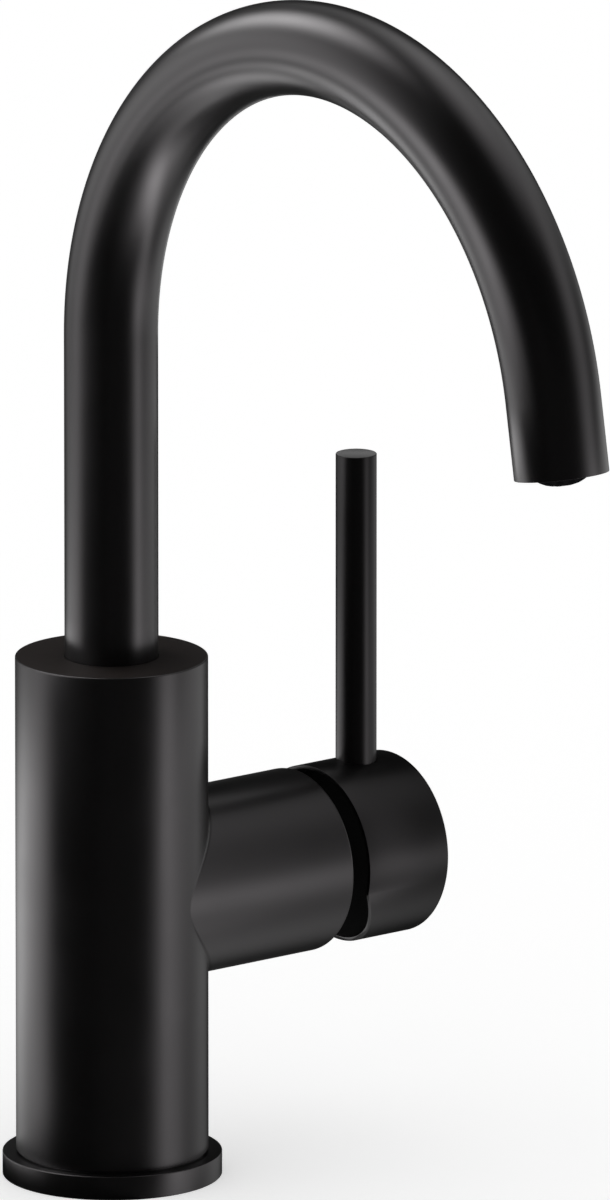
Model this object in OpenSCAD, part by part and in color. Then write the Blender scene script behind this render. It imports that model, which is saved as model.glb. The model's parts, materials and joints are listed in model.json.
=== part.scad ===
// Single-lever gooseneck bar faucet with a side handle.
// Millimetres. +Z is up, the spout points to -Y and the handle housing to +X.
// The origin is on the faucet's vertical axis, at the top of the deck.

/* [Base and body] */
// Diameter of the base ring on the deck
base_d = 51.1; // [50:0.1:54]
// Height of the base ring
base_h = 5.6; // [5:0.1:7]
// Diameter of the upright body
body_d = 44.8; // [44.4:0.1:46]
// Height of the body's flat top above the deck
body_top_z = 123.9; // [122:0.1:132]

/* [Spout] */
// Outside diameter of the gooseneck tube
tube_d = 21.8; // [21.6:0.1:22.4]
// Wall of the gooseneck tube
tube_wall = 1.2; // [1:0.1:1.2]
// Height above the deck at which the bend starts
bend_start_z = 200.5; // [170:0.1:260]
// Centreline radius of the bend
bend_r = 80.6; // [60:0.1:110]
// Angle of the bend
bend_sweep = 170; // [150:0.5:180]
// Length of the straight stretch at the outlet
outlet_len = 17.3; // [15:0.1:40]
// How far the aerator stands out of the tube's end
aerator_proud = 0.9; // [0.4:0.1:1.5]

/* [Handle] */
// Height of the handle axis above the deck
handle_z = 66.3; // [65:0.1:67]
// Diameter of the side housing
housing_d = 43.2; // [42.6:0.1:43.6]
// Distance from the faucet's axis to the end of the housing
housing_end = 55.3; // [55:0.1:55.6]
// Gap between the housing and the handle hub
hub_gap = 4.7; // [4.4:0.1:5.2]
// Diameter of the handle hub
hub_d = 42.8; // [41.6:0.1:43]
// Length of the handle hub
hub_len = 23.8; // [23:0.1:27]
// Diameter of the lever rod
rod_d = 9.6; // [8.5:0.1:10.5]
// Height of the lever rod's tip above the deck
rod_top_z = 160.9; // [120:0.1:190]
// Distance from the faucet's axis to the lever rod's axis
rod_x = 73.2; // [73:0.1:75]
// Slope of the relief under the hub, which lets the lever tip outwards
relief_angle = 26; // [26:1:30]

/* [Deck hardware] */
// Outside diameter of the threaded shank
shank_d = 33; // [32:0.5:33]
// Length of the shank under the deck
shank_len = 62; // [60:1:80]
// Thickness of the deck that the washers are set for
deck_t = 20; // [5:1:30]
// Distance between the hot and cold inlet ports
inlet_pitch = 13; // [12.5:0.5:14]

/* [Hidden] */
$fn = 96;
eps = 0.5;               // how far a cutter runs past a face
touch = 0.05;            // radial clearance of a thread or a running fit
free = 0.3;              // clearance between pieces that pass each other

black = "#1c1b1b";
brass = "#b79f5a";
steel = "#b9bcc0";
rubber = "#161616";
nylon = "#d9d6cc";
graphite = "#2a2b2d";
ceramic = "#efece4";

// Body
body_r = body_d / 2;
edge = 0.4;              // broken edges of the turned parts
seam = 0.6;              // shadow groove between the body and the base ring
shank_r = shank_d / 2;
shank_top = 20;
thread_pitch = 2;        // M33 x 2, drawn as rings
thread_depth = 0.9;
thread_top = -1.5;
shank_bore_r = 12.5;
hose_room_r = 15;
hose_room_top = 40;
ring_lip = 1.3;          // outer lip of the base ring, round its gasket
ring_land = 3;           // inner one, round the shank
recess_h = 2;
gasket_fit = 0.1;
port_r = 4.5;            // M10 x 1 ports, at their core diameter
port_depth = 10;
passage_r = 3.5;         // waterways to and from the cartridge
neck_bore_r = tube_d / 2 + 0.35;
neck_bore_bottom = 88;
glide_r = 12.8;
glide_z0 = body_top_z - 6.5;
glide_z1 = body_top_z - 2;
clip_r = 12.3;
clip_z = 98;
clip_h = 1.2;

// Under the deck
gasket_r = 27;
gasket_t = 3;
washer_r = 26.5;
washer_t = 2;
under_z = -deck_t - gasket_t - washer_t;
nut_r = 25.5;
nut_h = 9;
nut_z = under_z - 11;
grip_r = 3;              // finger scallops
clamp_r = 2;             // M4 clamp screws
clamp_len = 20;
clamp_at_r = 21;
clamp_head_r = 4;
clamp_head_h = 3;

// Cartridge, 35 mm size, on the handle axis
seat_x = 13;
chamber_r = 17.6;
nut_thread_r = 19;
nut_x = 40;
inlet_drop = 6;          // inlets below the cartridge's axis
outlet_rise = 8.5;       // mixed outlet above it
base_x1 = seat_x + 5;
disc_t = 3.5;
fixed_x1 = base_x1 + disc_t;
moving_x1 = fixed_x1 + disc_t;
carrier_neck_x = 29;
carrier_x1 = 32;
fixed_r = 13;
moving_r = 9.3;
carrier_r = 10.8;
carrier_neck_r = 6;
socket_r = 3.3;
key_r = 2;               // pegs that place the cartridge in its seat
key_y = 12;
key_z = 6;
key_len = 2.6;
seal_r = 5.3;
seal_t = 1.6;
disc_rest = -2.9;        // the moving disc's offset while the tap is shut
pivot_x = 45;
ball_x = 31;
ball_r = 3;
ball_neck_r = 2.6;
stem_w = 8;
stem_x0 = 41;
stem_x1 = 73;
pin_r = 1.5;
pin_len = 20;
rotor_neck_r = 10.45;
rotor_x0 = 32.6;
rotor_x1 = 50.5;
shell_step_x = 38;       // inner face of the shell's shoulder
shell_in_r = 14.2;
shell_neck_r = 13.5;
nut_bore_r = 14;
nut_hex_x = 48;
nut_hex_r = 17.3;
nut_hex_len = 5.5;
cap_foot_r = 17.4;
cap_wall = 1.4;
dome_r = 21;             // bonnet cap, a zone of a sphere round the pivot
dome_open_r = 14;

// Handle
hub_x0 = housing_end + hub_gap;
hub_x1 = hub_x0 + hub_len;
hub_r = hub_d / 2;
hub_wall = 1.7;
hub_floor_x = pivot_x + dome_r + 1.5;
relief_drop = 5.3;       // where the relief starts, below the handle axis
rod_seat_z = handle_z + 17;
rod_foot_z = handle_z + 9.5;
rod_foot_r = 4;
screw_x = 71;
screw_r = 2.5;
screw_low_z = handle_z - 12;
screw_hex_r = 1.45;
plug_low_z = handle_z - 19.5;
plug_h = 4;

// Outlet
tube_r = tube_d / 2;
tube_in_r = tube_r - tube_wall;
tube_foot_z = 112;
hair = 0.03;             // extra thickness of the straight end
lap = 0.3;               // how far it reaches into the bend
insert_r = 8.3;
insert_in_r = 7.2;
insert_floor = 3;
insert_top = 8;
mouth_r = 6.8;           // clear way through the washer and the bushing
screen_z = 5;
screen_t = 0.5;
washer_top = 10;
bushing_top = 12;

// Foot of the spout: two O-rings and a snap ring run in grooves of the adapter
oring_cord_r = 0.9;
oring_mid_r = tube_r - 0.58;
oring_groove_r = tube_r - 1.5;
oring_groove_h = 2.2;
oring_places = [91.5, 106];
clip_in_r = tube_r - 0.6;
clip_groove_r = tube_r - 0.9;

// ---- helpers -------------------------------------------------------------

// Upright cylinder from z0 to z1
module rod_z(r, z0, z1, x = 0, y = 0) {
    translate([x, y, z0]) cylinder(r = r, h = z1 - z0);
}

// Upright ring from z0 to z1
module ring_z(r_out, r_in, z0, z1) {
    difference() {
        rod_z(r_out, z0, z1);
        rod_z(r_in, z0 - eps, z1 + eps);
    }
}

// Cylinder along X, from x0 to x1, beside the handle axis by y and z
module rod_along_x(r, x0, x1, y = 0, z = 0) {
    translate([x0, y, handle_z + z]) rotate([0, 90, 0]) cylinder(r = r, h = x1 - x0);
}

module ring_along_x(r_out, r_in, x0, x1, y = 0, z = 0) {
    difference() {
        rod_along_x(r_out, x0, x1, y, z);
        rod_along_x(r_in, x0 - eps, x1 + eps, y, z);
    }
}

// Solid of revolution about the handle axis; points are [radius, x]
module turned_along_x(points) {
    translate([0, 0, handle_z]) rotate([0, 90, 0]) rotate_extrude() polygon(points);
}

// Cylinder along Y through the pivot
module pivot_rod(r, length) {
    translate([pivot_x, length / 2, handle_z]) rotate([90, 0, 0]) cylinder(r = r, h = length);
}

// Points of an arc, from angle a0 to a1
function arc_points(cx, cy, r, a0, a1, steps) =
    [for (i = [0 : steps]) let (a = a0 + (a1 - a0) * i / steps) [cx + r * cos(a), cy + r * sin(a)]];

// Frame at the tube's outlet: its +Z points back up the tube
module at_outlet() {
    translate([0, -bend_r, bend_start_z])
        rotate([bend_sweep, 0, 0])
            translate([0, bend_r, outlet_len]) rotate([180, 0, 0]) children();
}

// ---- deck hardware ---------------------------------------------------------

module base_ring() {
    color(black)
    difference() {
        rotate_extrude() polygon([
            [shank_r + free, 0], [base_d / 2, 0], [base_d / 2, base_h - edge],
            [base_d / 2 - edge, base_h], [shank_r + free, base_h]
        ]);
        ring_z(base_d / 2 - ring_lip, shank_r + ring_land, -eps, recess_h);
    }
}

module base_gasket() {
    color(rubber)
    ring_z(base_d / 2 - ring_lip - gasket_fit, shank_r + ring_land + gasket_fit, 0, recess_h);
}

module shank() {
    turns = floor((shank_len + thread_top) / thread_pitch);
    root_r = shank_r - thread_depth;
    thread_foot = thread_top - turns * thread_pitch;
    color(brass)
    rotate_extrude() polygon(concat(
        [[shank_bore_r, -shank_len], [root_r, -shank_len]],
        [for (i = [0 : turns - 1]) each [
            [root_r, thread_foot + i * thread_pitch], [shank_r, thread_foot + (i + 0.5) * thread_pitch]
        ]],
        [[root_r, thread_top], [shank_r, thread_top + thread_depth],
         [shank_r, shank_top], [shank_bore_r, shank_top]]
    ));
}

module deck_gasket() {
    color(rubber) ring_z(gasket_r, shank_r + free, -deck_t - gasket_t, -deck_t);
}

module deck_washer() {
    color(steel) ring_z(washer_r, shank_r + free, under_z, under_z + washer_t);
}

// Round brass nut with finger scallops; its two screws press on the washer
module mounting_nut() {
    color(brass)
    translate([0, 0, nut_z])
    difference() {
        ring_z(nut_r, shank_r + touch, 0, nut_h);
        for (a = [30 : 60 : 330]) rotate(a) rod_z(grip_r, -eps, nut_h + eps, nut_r + grip_r / 2);
        for (a = [0, 180]) rotate(a) rod_z(clamp_r + touch, -eps, nut_h + eps, clamp_at_r);
    }
}

module clamp_screws() {
    color(steel)
    for (a = [0, 180]) rotate(a) {
        rod_z(clamp_r, under_z - clamp_len, under_z, clamp_at_r);
        translate([clamp_at_r, 0, under_z - clamp_len - clamp_head_h])
            cylinder(r = clamp_head_r, h = clamp_head_h, $fn = 6);
    }
}

// ---- body ------------------------------------------------------------------

module body_outline() {
    rotate_extrude() polygon([
        [0, base_h], [body_r - seam, base_h], [body_r - seam, base_h + seam],
        [body_r, base_h + seam], [body_r, body_top_z - edge], [body_r - edge, body_top_z],
        [0, body_top_z]
    ]);
    turned_along_x(concat(
        [[0, 0], [housing_d / 2, 0]],
        arc_points(housing_d / 2 - 1.2, housing_end - 1.2, 1.2, 0, 90, 6),
        [[0, housing_end]]
    ));
}

module waterways() {
    // hot and cold: port, riser and cross bore to the cartridge seat
    for (y = [-1, 1] * inlet_pitch / 2) {
        rod_z(port_r, hose_room_top - eps, hose_room_top + port_depth, 0, y);
        rod_z(passage_r, hose_room_top, handle_z - inlet_drop + passage_r, 0, y);
        rod_along_x(passage_r, 0, seat_x + eps, y, -inlet_drop);
    }
    // mixed water: cross bore and riser to the spout
    rod_along_x(passage_r, 0, seat_x + eps, 0, outlet_rise);
    rod_z(passage_r + 1, handle_z + outlet_rise - passage_r, neck_bore_bottom + eps);
}

module faucet_body() {
    color(black)
    difference() {
        body_outline();
        rod_z(shank_r + touch, base_h - eps, shank_top + 1);
        rod_z(hose_room_r, base_h, hose_room_top);
        rod_z(neck_bore_r, neck_bore_bottom, body_top_z + eps);
        rod_z(glide_r, glide_z0, glide_z1);
        rod_z(clip_r, clip_z, clip_z + clip_h);
        rod_along_x(chamber_r, seat_x, housing_end + eps);
        rod_along_x(nut_thread_r, nut_x, housing_end + eps);
        for (y = [-key_y, key_y])
            rod_along_x(key_r + touch, seat_x - key_len - free, seat_x + eps, y, key_z);
        waterways();
    }
}

module glide_ring() {
    color(nylon)
    difference() {
        ring_z(glide_r - touch, tube_r + touch, glide_z0, glide_z1);
        translate([-1, 0, glide_z0 - eps]) cube([2, glide_r + 1, glide_z1 - glide_z0 + 2 * eps]);
    }
}

module retaining_clip() {
    color(steel)
    difference() {
        ring_z(clip_r - touch, clip_in_r, clip_z, clip_z + clip_h);
        translate([-3, 0, clip_z - eps]) cube([6, clip_r + 1, clip_h + 2 * eps]);
    }
}

// ---- cartridge -------------------------------------------------------------

// The three port places on the cartridge's face: [y, z] beside its axis
port_places = [[-inlet_pitch / 2, -inlet_drop], [inlet_pitch / 2, -inlet_drop], [0, outlet_rise]];

module cartridge_base() {
    color(nylon) {
        difference() {
            rod_along_x(chamber_r - 0.1, seat_x, base_x1);
            for (p = port_places) {
                rod_along_x(passage_r, seat_x - eps, base_x1 + eps, p[0], p[1]);
                rod_along_x(seal_r + gasket_fit, seat_x - eps, seat_x + seal_t, p[0], p[1]);
            }
        }
        for (y = [-key_y, key_y]) rod_along_x(key_r, seat_x - key_len, seat_x, y, key_z);
    }
}

module cartridge_seals() {
    color(rubber)
    for (p = port_places) ring_along_x(seal_r, passage_r, seat_x, seat_x + seal_t, p[0], p[1]);
}

module disc_fixed() {
    color(ceramic)
    difference() {
        rod_along_x(fixed_r, base_x1, fixed_x1);
        for (p = port_places) rod_along_x(passage_r - free, base_x1 - eps, fixed_x1 + eps, p[0], p[1]);
    }
}

module cartridge_shell() {
    color(graphite)
    difference() {
        union() {
            rod_along_x(chamber_r - 0.1, base_x1, nut_x);
            rod_along_x(shell_neck_r, nut_x, rotor_x1 - 0.5);
        }
        rod_along_x(shell_in_r, base_x1 - eps, shell_step_x);
        rod_along_x(rotor_neck_r + touch, shell_step_x - eps, rotor_x1);
    }
}

module retaining_nut() {
    color(brass)
    difference() {
        union() {
            rod_along_x(nut_thread_r - touch, nut_x, nut_hex_x);
            translate([nut_hex_x, 0, handle_z]) rotate([0, 90, 0])
                cylinder(r = nut_hex_r, h = nut_hex_len, $fn = 6);
        }
        rod_along_x(nut_bore_r, nut_x - eps, nut_hex_x + nut_hex_len + eps);
    }
}

// Dark ring that fills the housing's mouth and shows in the gap
module bonnet_cap() {
    rim_r = nut_thread_r - free;
    inner_r = dome_r - cap_wall;
    color(graphite)
    turned_along_x(concat(
        [[cap_foot_r, nut_hex_x], [rim_r, nut_hex_x]],
        arc_points(0, pivot_x, dome_r, acos(rim_r / dome_r), acos(dome_open_r / dome_r), 8),
        arc_points(0, pivot_x, inner_r, acos(dome_open_r / inner_r), acos(cap_foot_r / inner_r), 8)
    ));
}

// Slot that the stem swings in, seen along Y; points are [x, z] from the pivot
module stem_slot() {
    translate([pivot_x, (stem_w / 2 + free), handle_z]) rotate([90, 0, 0])
    linear_extrude(height = stem_w + 2 * free)
    polygon([
        [6, 4.4], [0, 4.8], [-3, 5.8], [-13, 9.3],
        [-13, -3.6], [-4, -4.4], [0, -4.8], [6, -7.9]
    ]);
}

module cartridge_rotor() {
    color(nylon)
    difference() {
        union() {
            rod_along_x(shell_in_r - free, rotor_x0, shell_step_x - free);
            rod_along_x(rotor_neck_r, shell_step_x - free, rotor_x1);
        }
        stem_slot();
        pivot_rod(pin_r + 0.02, 2 * pin_len);
    }
}

module pivot_pin() {
    color(steel) pivot_rod(pin_r, pin_len);
}

module disc_moving() {
    color(ceramic)
    difference() {
        rod_along_x(moving_r, fixed_x1, moving_x1, 0, disc_rest);
        // mixing hollow on the face that slides
        rod_along_x(6.6, fixed_x1 - eps, fixed_x1 + 1.6, 0, disc_rest + 1.2);
    }
}

module disc_carrier() {
    color(graphite)
    difference() {
        union() {
            rod_along_x(carrier_r, moving_x1, carrier_neck_x, 0, disc_rest);
            rod_along_x(carrier_neck_r, carrier_neck_x, carrier_x1);
        }
        rod_along_x(socket_r, carrier_neck_x - 2.5, carrier_x1 + eps);
    }
}

// ---- handle ----------------------------------------------------------------

module lever_stem() {
    color(steel)
    difference() {
        union() {
            translate([stem_x0, -stem_w / 2, handle_z - stem_w / 2]) cube([stem_x1 - stem_x0, stem_w, stem_w]);
            rod_along_x(ball_neck_r, ball_x, stem_x0 + 1);
            translate([ball_x, 0, handle_z]) sphere(r = ball_r);
        }
        pivot_rod(pin_r + touch, 2 * pin_len);
    }
}

module handle_hub() {
    color(black)
    difference() {
        turned_along_x(concat(
            [[hub_r - hub_wall, hub_x0], [hub_r - 0.3, hub_x0], [hub_r, hub_x0 + 0.3]],
            arc_points(hub_r - 0.6, hub_x1 - 0.6, 0.6, 0, 90, 4),
            [[0, hub_x1], [0, hub_floor_x], [hub_r - hub_wall, hub_floor_x]]
        ));
        // relief under the rim
        translate([hub_x0, 0, handle_z - relief_drop]) rotate([0, -relief_angle, 0])
            translate([-40, -30, -40]) cube([40, 60, 40]);
        // square socket for the stem
        translate([hub_floor_x - 1, -stem_w / 2 - touch, handle_z - stem_w / 2 - touch])
            cube([stem_x1 - hub_floor_x + 1.5, stem_w + 2 * touch, stem_w + 2 * touch]);
        // seat of the lever rod
        rod_z(rod_d / 2 + touch, rod_seat_z, handle_z + hub_r + eps, rod_x);
        rod_z(rod_foot_r + touch, rod_foot_z, rod_seat_z + eps, rod_x);
        // set screw, reached from below
        rod_z(screw_r + 2 * touch, handle_z - hub_r - eps, handle_z - stem_w / 2, screw_x);
    }
}

module handle_rod() {
    r = rod_d / 2;
    color(black)
    translate([rod_x, 0, 0]) rotate_extrude() polygon([
        [0, rod_foot_z], [rod_foot_r, rod_foot_z], [rod_foot_r, rod_seat_z], [r, rod_seat_z],
        [r, rod_top_z - edge], [r - edge, rod_top_z], [0, rod_top_z]
    ]);
}

module hub_setscrew() {
    color(steel)
    difference() {
        rod_z(screw_r, screw_low_z, handle_z - stem_w / 2, screw_x);
        translate([screw_x, 0, screw_low_z - eps]) cylinder(r = screw_hex_r, h = 3, $fn = 6);
    }
}

module setscrew_plug() {
    color(graphite) rod_z(screw_r, plug_low_z, plug_low_z + plug_h, screw_x);
}

// ---- spout -----------------------------------------------------------------

// The tube's section; more makes its wall that much thicker on both sides
module tube_section(more = 0) {
    difference() {
        circle(r = tube_r + more);
        circle(r = tube_in_r - more);
    }
}

module spout_tube() {
    color(black) {
        translate([0, 0, tube_foot_z]) linear_extrude(bend_start_z - tube_foot_z) tube_section();
        translate([0, -bend_r, bend_start_z]) rotate([90, 0, 90])
            rotate_extrude(angle = bend_sweep, $fn = 144) translate([bend_r, 0]) tube_section();
        // the straight end, a hair thicker, laps the bend's end so that the two fuse cleanly
        at_outlet() linear_extrude(outlet_len + lap) tube_section(hair);
    }
}

module spout_adapter() {
    color(brass)
    difference() {
        union() {
            rod_z(tube_r, neck_bore_bottom + 1, tube_foot_z);
            rod_z(tube_in_r - 0.02, tube_foot_z, tube_foot_z + 8);
        }
        rod_z(7.5, neck_bore_bottom, tube_foot_z + 9);
        for (z = oring_places) ring_z(tube_r + eps, oring_groove_r, z, z + oring_groove_h);
        ring_z(tube_r + eps, clip_groove_r, clip_z - 0.2, clip_z + clip_h + 0.2);
    }
}

module spout_orings() {
    color(rubber)
    for (z = oring_places) translate([0, 0, z + oring_groove_h / 2])
        rotate_extrude() translate([oring_mid_r, 0]) circle(r = oring_cord_r, $fn = 32);
}

module outlet_bushing() {
    color(brass)
    at_outlet() difference() {
        rod_z(tube_in_r - touch, 0.6, bushing_top);
        rod_z(insert_r + touch, -eps, washer_top);
        rod_z(mouth_r, -eps, bushing_top + eps);
    }
}

// Nozzle places: one in the middle and rings of 6 and 12
nozzle_places = concat([[0, 0]],
    [for (a = [0 : 60 : 300]) 2.6 * [cos(a), sin(a)]],
    [for (a = [15 : 30 : 345]) 5.1 * [cos(a), sin(a)]]);

module aerator_insert() {
    color(graphite)
    at_outlet() difference() {
        rotate_extrude() polygon([
            [0, edge - aerator_proud], [mouth_r - edge, edge - aerator_proud], [mouth_r, -aerator_proud],
            [insert_r - edge, -aerator_proud], [insert_r, edge - aerator_proud],
            [insert_r, insert_top], [insert_in_r, insert_top], [insert_in_r, insert_floor],
            [0, insert_floor]
        ]);
        for (p = nozzle_places) rod_z(0.9, -aerator_proud - eps, insert_floor + eps, p[0], p[1]);
    }
}

module aerator_screen() {
    color(steel)
    at_outlet() difference() {
        rod_z(insert_in_r - gasket_fit, screen_z, screen_z + screen_t);
        for (p = nozzle_places)
            rod_z(0.7, screen_z - eps, screen_z + screen_t + eps, 1.15 * p[0], 1.15 * p[1]);
    }
}

module aerator_washer() {
    color(rubber) at_outlet() ring_z(insert_r, mouth_r, insert_top, washer_top);
}

// ---- the assembly ------------------------------------------------------------

base_ring();
base_gasket();
faucet_body();
shank();
deck_gasket();
deck_washer();
mounting_nut();
clamp_screws();
glide_ring();
retaining_clip();
cartridge_base();
cartridge_seals();
disc_fixed();
cartridge_shell();
retaining_nut();
bonnet_cap();
cartridge_rotor();
pivot_pin();
disc_moving();
disc_carrier();
lever_stem();
handle_hub();
handle_rod();
hub_setscrew();
setscrew_plug();
spout_tube();
spout_adapter();
spout_orings();
outlet_bushing();
aerator_insert();
aerator_screen();
aerator_washer();
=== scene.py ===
"""Gooseneck bar faucet with a side lever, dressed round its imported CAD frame.

Everything is in metres, in the frame's own axes: +Z up, the spout to -Y, the handle to +X,
and z = 0 at the top of the deck.
"""

import json
import math
from contextlib import contextmanager

import bmesh
import bpy
from mathutils import Matrix, Vector


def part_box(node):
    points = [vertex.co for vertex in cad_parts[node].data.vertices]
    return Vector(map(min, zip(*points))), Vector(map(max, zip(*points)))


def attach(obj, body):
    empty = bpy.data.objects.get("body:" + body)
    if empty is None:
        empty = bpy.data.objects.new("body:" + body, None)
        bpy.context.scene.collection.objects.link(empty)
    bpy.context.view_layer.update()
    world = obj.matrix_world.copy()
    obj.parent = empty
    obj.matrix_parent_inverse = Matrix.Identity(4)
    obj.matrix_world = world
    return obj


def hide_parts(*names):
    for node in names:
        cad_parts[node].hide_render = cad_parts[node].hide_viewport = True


bl_info = {
    "name": "Gooseneck bar faucet",
    "version": (1, 0, 0),
    "blender": (4, 5, 0),
    "location": "3D View > Sidebar > Faucet",
    "description": "Models a single-lever gooseneck bar faucet piece by piece",
    "category": "Add Mesh",
}

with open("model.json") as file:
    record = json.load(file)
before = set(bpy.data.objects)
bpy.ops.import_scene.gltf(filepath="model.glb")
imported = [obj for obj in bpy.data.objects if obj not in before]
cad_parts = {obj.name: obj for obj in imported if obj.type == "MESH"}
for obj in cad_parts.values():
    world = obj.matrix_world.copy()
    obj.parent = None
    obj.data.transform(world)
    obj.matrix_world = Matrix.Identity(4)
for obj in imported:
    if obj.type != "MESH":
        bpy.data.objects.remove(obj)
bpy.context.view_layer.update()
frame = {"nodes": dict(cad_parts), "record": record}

MM = 0.001
BODY_LOW, BODY_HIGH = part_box("faucet_body")
RING_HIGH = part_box("base_ring")[1]
HUB_LOW, HUB_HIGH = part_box("handle_hub")
ROD_LOW, ROD_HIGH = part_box("handle_rod")
SHANK_LOW, SHANK_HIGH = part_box("shank")
GASKET_LOW, GASKET_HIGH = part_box("deck_gasket")
WASHER_LOW, WASHER_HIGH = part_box("deck_washer")
NUT_LOW, NUT_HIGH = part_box("mounting_nut")
SCREWS_LOW, SCREWS_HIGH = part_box("clamp_screws")


# ---- sizes and colours


def length(name, text, metres, low=0.0):
    """A length that a user may change, in metres."""
    return bpy.props.FloatProperty(
        name=name, description=text, default=metres, min=low, precision=5, unit="LENGTH"
    )


def degrees(name, text, value):
    """An angle that a user may change, given in degrees."""
    return bpy.props.FloatProperty(
        name=name, description=text, default=math.radians(value), subtype="ANGLE", unit="ROTATION"
    )


def tint(name, text, colour):
    """A colour that a user may change, in linear values."""
    return bpy.props.FloatVectorProperty(
        name=name, description=text, default=colour, size=3, min=0.0, max=1.0, subtype="COLOR"
    )


def share(name, text, value, top=1.0):
    """A plain number that a user may change."""
    return bpy.props.FloatProperty(
        name=name, description=text, default=value, min=0.0, max=top, subtype="FACTOR"
    )


class FaucetSizes(bpy.types.PropertyGroup):
    """Sizes of the faucet's outer pieces."""

    tube_diameter: length("Tube diameter", "Outside diameter of the gooseneck", 21.8 * MM)
    tube_wall: length("Tube wall", "Wall of the gooseneck", 1.2 * MM)
    tube_foot: length("Tube foot", "Height of the tube's lower end, inside the body", 112 * MM)
    bend_start: length("Bend start", "Height at which the bend starts", 200.5 * MM)
    bend_radius: length("Bend radius", "Centreline radius of the bend", 80.6 * MM)
    bend_angle: degrees("Bend angle", "Angle that the bend turns through", 170)
    outlet_length: length("Outlet length", "Straight stretch after the bend", 17.6 * MM)
    body_radius: length("Body radius", "Radius of the upright body", BODY_HIGH.y)
    body_foot: length("Body foot", "Height of the body's lower face", BODY_LOW.z)
    body_top: length("Body top", "Height of the body's flat top", BODY_HIGH.z)
    housing_radius: length("Housing radius", "Radius of the side housing", 21.6 * MM)
    housing_end: length("Housing end", "Reach of the side housing", BODY_HIGH.x)
    housing_fillet: length("Housing fillet", "Fillet where the housing leaves the body", 1.6 * MM)
    handle_height: length(
        "Handle height", "Height of the handle's axis", (HUB_LOW.z + HUB_HIGH.z) / 2
    )
    hub_start: length("Hub start", "Where the handle hub begins", HUB_LOW.x)
    hub_end: length("Hub end", "Where the handle hub ends", HUB_HIGH.x)
    hub_radius: length("Hub radius", "Radius of the handle hub", HUB_HIGH.y)
    hub_wall: length("Hub wall", "Wall of the hub's open side", 0.9 * MM)
    ring_radius: length("Ring radius", "Radius of the base ring", RING_HIGH.x)
    ring_height: length("Ring height", "Height of the base ring", RING_HIGH.z)


class FaucetFinish(bpy.types.PropertyGroup):
    """Colours and gloss of the faucet's materials."""

    black: tint("Black coat", "Colour of the matte black coat", (0.0017, 0.0016, 0.0016))
    black_light: tint("Black coat, light", "Its lighter specks", (0.0027, 0.0026, 0.0025))
    black_gloss: share("Black roughness", "Roughness of the black coat", 0.30)
    brass: tint("Brass", "Colour of the bare brass", (0.72, 0.60, 0.33))
    steel: tint("Stainless steel", "Colour of the steel", (0.62, 0.63, 0.64))
    rubber: tint("Rubber", "Colour of the gaskets and O-rings", (0.030, 0.030, 0.030))
    nylon: tint("Natural nylon", "Colour of the cartridge's plastic", (0.82, 0.80, 0.74))
    graphite: tint("Graphite plastic", "Colour of the dark plastic", (0.013, 0.013, 0.014))
    # Painted light: far lighter than the black coat, lifting the shaded inside of the hub.
    inside: tint("Hub's inside", "Colour of the dull coat inside the hub", (0.016, 0.016, 0.016))
    # Painted light: the flat top is lighter and warmer than the black coat, standing in for the light
    # that falls on the top face.
    flat: tint("Flat top", "Colour of the body's flat top", (0.0130, 0.0098, 0.0084))
    ceramic: tint("Ceramic", "Colour of the valve discs", (0.86, 0.84, 0.79))


class FaucetStage(bpy.types.PropertyGroup):
    """The camera, the floor and the lights."""

    view_turn: degrees("View turn", "How far the camera stands round to the left", 39.1957)
    view_rise: degrees("View rise", "How far the camera looks down", 13.8345)
    view_distance: length("View distance", "From the camera to the faucet", 6.633)
    floor_colour: tint("Floor", "Colour of the floor", (0.9, 0.9, 0.9))
    fill_light: share("Fill light", "Even light on the object from all sides", 0.65, 2.0)
    tent_light: share("Tent light", "Strength of the tent's soft boxes", 1.0, 5.0)
    tent_cloth: share("Tent cloth", "Faint light of the tent's dark cloth", 0.054)
    tent_radius: length("Tent radius", "Radius of the light tent", 0.504)
    tent_height: length("Tent height", "Height of the tent's centre", -0.0034, -1.0)


def sizes():
    """The faucet's sizes, as set in the scene."""
    return bpy.context.scene.faucet_sizes


def finish_of(piece, slot_name, body, *nodes, look=None):
    """Smooths a finished piece, and gives it its look, its body and the nodes it stands for."""
    pick(piece)
    bpy.ops.object.shade_smooth_by_angle(angle=math.radians(30))
    piece.data.materials.clear()
    piece.data.materials.append(material(look or slot_name))
    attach(piece, body)
    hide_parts(*nodes)


def coat_faces(piece, look, test):
    """Gives the faces that pass a test a look of their own."""
    piece.data.materials.append(material(look))
    for face in piece.data.polygons:
        if test(face):
            face.material_index = 1


# ---- modelling helpers


def pick_none():
    """Leaves nothing selected, because an operator acts on all that is."""
    if bpy.context.mode != "OBJECT":
        bpy.ops.object.mode_set(mode="OBJECT")
    bpy.ops.object.select_all(action="DESELECT")


def pick(piece):
    """Makes a piece the only selected and the active one."""
    pick_none()
    piece.select_set(True)
    bpy.context.view_layer.objects.active = piece


def edit_all(piece):
    """Goes into edit mode on a piece, with its whole mesh selected."""
    pick(piece)
    bpy.ops.object.mode_set(mode="EDIT")
    bpy.ops.mesh.select_all(action="SELECT")


def name_it(name):
    """Names the object that was just added."""
    piece = bpy.context.object
    piece.name = name
    piece.data.name = name
    return piece


def along(axis, centre, reach):
    """The point at a reach along X or Z from a centre."""
    step = Vector((reach, 0, 0)) if axis == "X" else Vector((0, 0, reach))
    return Vector(centre) + step


def add_ring(axis, centre, radius, reach, steps):
    """Adds a circle across an axis."""
    turn = (0, math.pi / 2, 0) if axis == "X" else (0, 0, 0)
    bpy.ops.mesh.primitive_circle_add(
        vertices=steps, radius=radius, location=along(axis, centre, reach), rotation=turn
    )


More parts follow.
